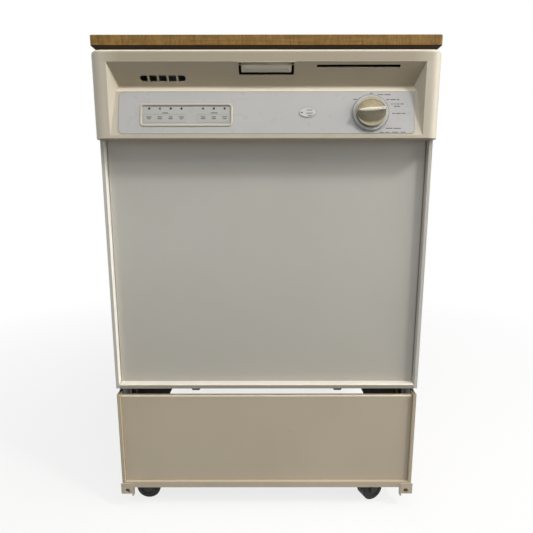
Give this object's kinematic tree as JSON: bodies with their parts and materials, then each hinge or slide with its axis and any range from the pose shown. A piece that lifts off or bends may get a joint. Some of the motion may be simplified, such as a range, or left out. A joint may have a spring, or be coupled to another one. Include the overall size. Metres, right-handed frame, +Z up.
{
  "type": "portable dishwasher",
  "caption": "Free-standing portable dishwasher on casters, with a wooden worktop, a front control console with a hand scoop and knob, a drop-down door and racks.",
  "frame": {"origin": "on the floor, under the middle of the bounding box", "axes": "+X to the right as seen from the front, +Y to the back, +Z up"},
  "size_m": [0.612, 0.6586, 0.932],
  "materials": {
    "laminated_wood": "satin woodgrain",
    "white_enamel": "semi-gloss enamel",
    "almond_enamel": "semi-gloss enamel",
    "almond_plastic": "soft gloss",
    "grey_plastic": "satin",
    "film": "smooth",
    "lens": "smooth",
    "knob_plastic": "gloss",
    "black_plastic": "matte",
    "caster_rubber": "matte",
    "zinc_steel": "zinc plated",
    "tub_plastic": "smooth",
    "liner_plastic": "smooth",
    "seal_rubber": "matte",
    "rack_coating": "vinyl coated wire",
    "white_plastic": "smooth",
    "heater_steel": "dark sheath",
    "motor_steel": "satin",
    "galvanised": "galvanised"
  },
  "bodies": {
    "cabinet": {"worktop": "laminated_wood", "cabinet_side_left": "white_enamel", "cabinet_side_right": "white_enamel", "cabinet_back": "galvanised", "base_side_left": "almond_enamel", "base_side_right": "almond_enamel", "base_front_rail": "almond_enamel", "base_rear_rail": "galvanised", "lower_access_panel": "almond_enamel", "corner_bracket_left": "almond_enamel", "corner_bracket_right": "almond_enamel", "caster_mounts": "zinc_steel", "tub": "tub_plastic", "tub_gasket": "seal_rubber", "latch_keeper": "zinc_steel", "sump": "black_plastic", "wash_pump": "black_plastic", "pump_motor": "motor_steel", "heating_element": "heater_steel", "feed_tube": "white_plastic", "inlet_valve": "white_plastic", "drain_pipe": "black_plastic", "cord_gland": "black_plastic", "cabinet_screws": "zinc_steel", "hinge_brackets": "zinc_steel", "door_springs": "zinc_steel", "rack_tracks": "zinc_steel"},
    "door": {"door_outer_panel": "white_enamel", "door_bottom_trim": "almond_plastic", "door_liner": "liner_plastic", "hinge_arms": "zinc_steel", "console": "almond_plastic", "control_insert": "grey_plastic", "keypad_bezel": "almond_plastic", "keypad_film": "film", "indicator_lenses": "lens", "cycle_timer": "white_plastic", "latch_housing": "black_plastic", "dispenser_body": "white_plastic"},
    "timer": {"timer_shaft": "zinc_steel", "timer_dial": "grey_plastic", "timer_knob": "knob_plastic"},
    "paddle": {"latch_paddle": "almond_plastic"},
    "hook": {"latch_hook": "zinc_steel"},
    "detergent_lid": {"dispenser_lid": "grey_plastic"},
    "rinse_cap": {"rinse_aid_cap": "grey_plastic"},
    "lower_rack": {"lower_rack": "rack_coating", "silverware_basket": "white_plastic"},
    "front_rollers": {"rack_rollers_front": "white_plastic"},
    "rear_rollers": {"rack_rollers_rear": "white_plastic"},
    "upper_rack": {"upper_rack": "rack_coating"},
    "lower_arm": {"lower_spray_arm": "white_plastic"},
    "upper_arm": {"upper_spray_arm": "white_plastic"},
    "float": {"overfill_float": "white_plastic"},
    "left_swivel": {"caster_fork_left": "black_plastic"},
    "right_swivel": {"caster_fork_right": "black_plastic"},
    "front_left_wheel": {"caster_wheel_front_left": "caster_rubber"},
    "front_right_wheel": {"caster_wheel_front_right": "caster_rubber"},
    "rear_left_wheel": {"caster_wheel_rear_left": "caster_rubber"},
    "rear_right_wheel": {"caster_wheel_rear_right": "caster_rubber"}
  },
  "joints": [
    {"name": "door_hinge", "type": "hinge", "parent": "cabinet", "child": "door", "pos_m": [0, -0.26771, 0.299], "axis": [1, 0, 0], "range_deg": [0, 90], "stiffness_Nm_per_rad": 9, "springref_deg": -8.59, "deforming": ["door_springs"]},
    {"name": "timer_turn", "type": "hinge", "parent": "door", "child": "timer", "pos_m": [0.1825, -0.31059, 0.80017], "axis": [0, -0.9754, 0.2203], "continuous": true},
    {"name": "paddle_pull", "type": "hinge", "parent": "door", "child": "paddle", "pos_m": [0, -0.30995, 0.88117], "axis": [-1, 0, 0], "range_deg": [0, 22], "stiffness_Nm_per_rad": 0.08},
    {"name": "hook_lift", "type": "hinge", "parent": "door", "child": "hook", "pos_m": [0, -0.2867, 0.8927], "axis": [1, 0, 0], "range_deg": [0, 3.5]},
    {"name": "detergent_lid_hinge", "type": "hinge", "parent": "door", "child": "detergent_lid", "pos_m": [-0.0915, -0.22811, 0.5115], "axis": [0, 0, 1], "range_deg": [0, 100]},
    {"name": "rinse_cap_turn", "type": "hinge", "parent": "door", "child": "rinse_cap", "pos_m": [0.024, -0.2307, 0.5115], "axis": [0, 1, 0], "range_deg": [0, 90]},
    {"name": "lower_rack_slide", "type": "slide", "parent": "cabinet", "child": "lower_rack", "axis": [0, -1, 0], "range_m": [0, 0.015]},
    {"name": "front_roller_spin", "type": "hinge", "parent": "lower_rack", "child": "front_rollers", "pos_m": [0, -0.11771, 0.3032], "axis": [1, 0, 0], "range_deg": [-2, 60]},
    {"name": "rear_roller_spin", "type": "hinge", "parent": "lower_rack", "child": "rear_rollers", "pos_m": [0, 0.16729, 0.3032], "axis": [1, 0, 0], "range_deg": [-2, 60]},
    {"name": "upper_rack_slide", "type": "slide", "parent": "cabinet", "child": "upper_rack", "axis": [0, -1, 0], "range_m": [0, 0.015]},
    {"name": "lower_arm_spin", "type": "hinge", "parent": "cabinet", "child": "lower_arm", "pos_m": [0, 0.0358, 0.307], "axis": [0, 0, 1], "continuous": true},
    {"name": "upper_arm_spin", "type": "hinge", "parent": "cabinet", "child": "upper_arm", "pos_m": [0, 0.0358, 0.561], "axis": [0, 0, 1], "continuous": true},
    {"name": "float_lift", "type": "slide", "parent": "cabinet", "child": "float", "axis": [0, 0, 1], "range_m": [0, 0.012]},
    {"name": "left_caster_swivel", "type": "hinge", "parent": "cabinet", "child": "left_swivel", "pos_m": [-0.243, -0.24371, 0.066], "axis": [0, 0, 1], "continuous": true},
    {"name": "front_left_wheel_spin", "type": "hinge", "parent": "left_swivel", "child": "front_left_wheel", "pos_m": [-0.26, -0.24371, 0.0255], "axis": [0, -1, 0], "continuous": true},
    {"name": "right_caster_swivel", "type": "hinge", "parent": "cabinet", "child": "right_swivel", "pos_m": [0.243, -0.24371, 0.066], "axis": [0, 0, 1], "continuous": true},
    {"name": "front_right_wheel_spin", "type": "hinge", "parent": "right_swivel", "child": "front_right_wheel", "pos_m": [0.22759, -0.25089, 0.0255], "axis": [0.4226, -0.9063, 0], "continuous": true},
    {"name": "rear_left_wheel_spin", "type": "hinge", "parent": "cabinet", "child": "rear_left_wheel", "pos_m": [-0.243, 0.26129, 0.0255], "axis": [1, 0, 0], "continuous": true},
    {"name": "rear_right_wheel_spin", "type": "hinge", "parent": "cabinet", "child": "rear_right_wheel", "pos_m": [0.243, 0.26129, 0.0255], "axis": [1, 0, 0], "continuous": true}
  ],
  "couplings": [
    {"joint": "hook_lift", "follows": "paddle_pull", "ratio": 0.15},
    {"joint": "front_roller_spin", "follows": "lower_rack_slide", "rad_per_m": 50},
    {"joint": "rear_roller_spin", "follows": "lower_rack_slide", "rad_per_m": 50}
  ]
}
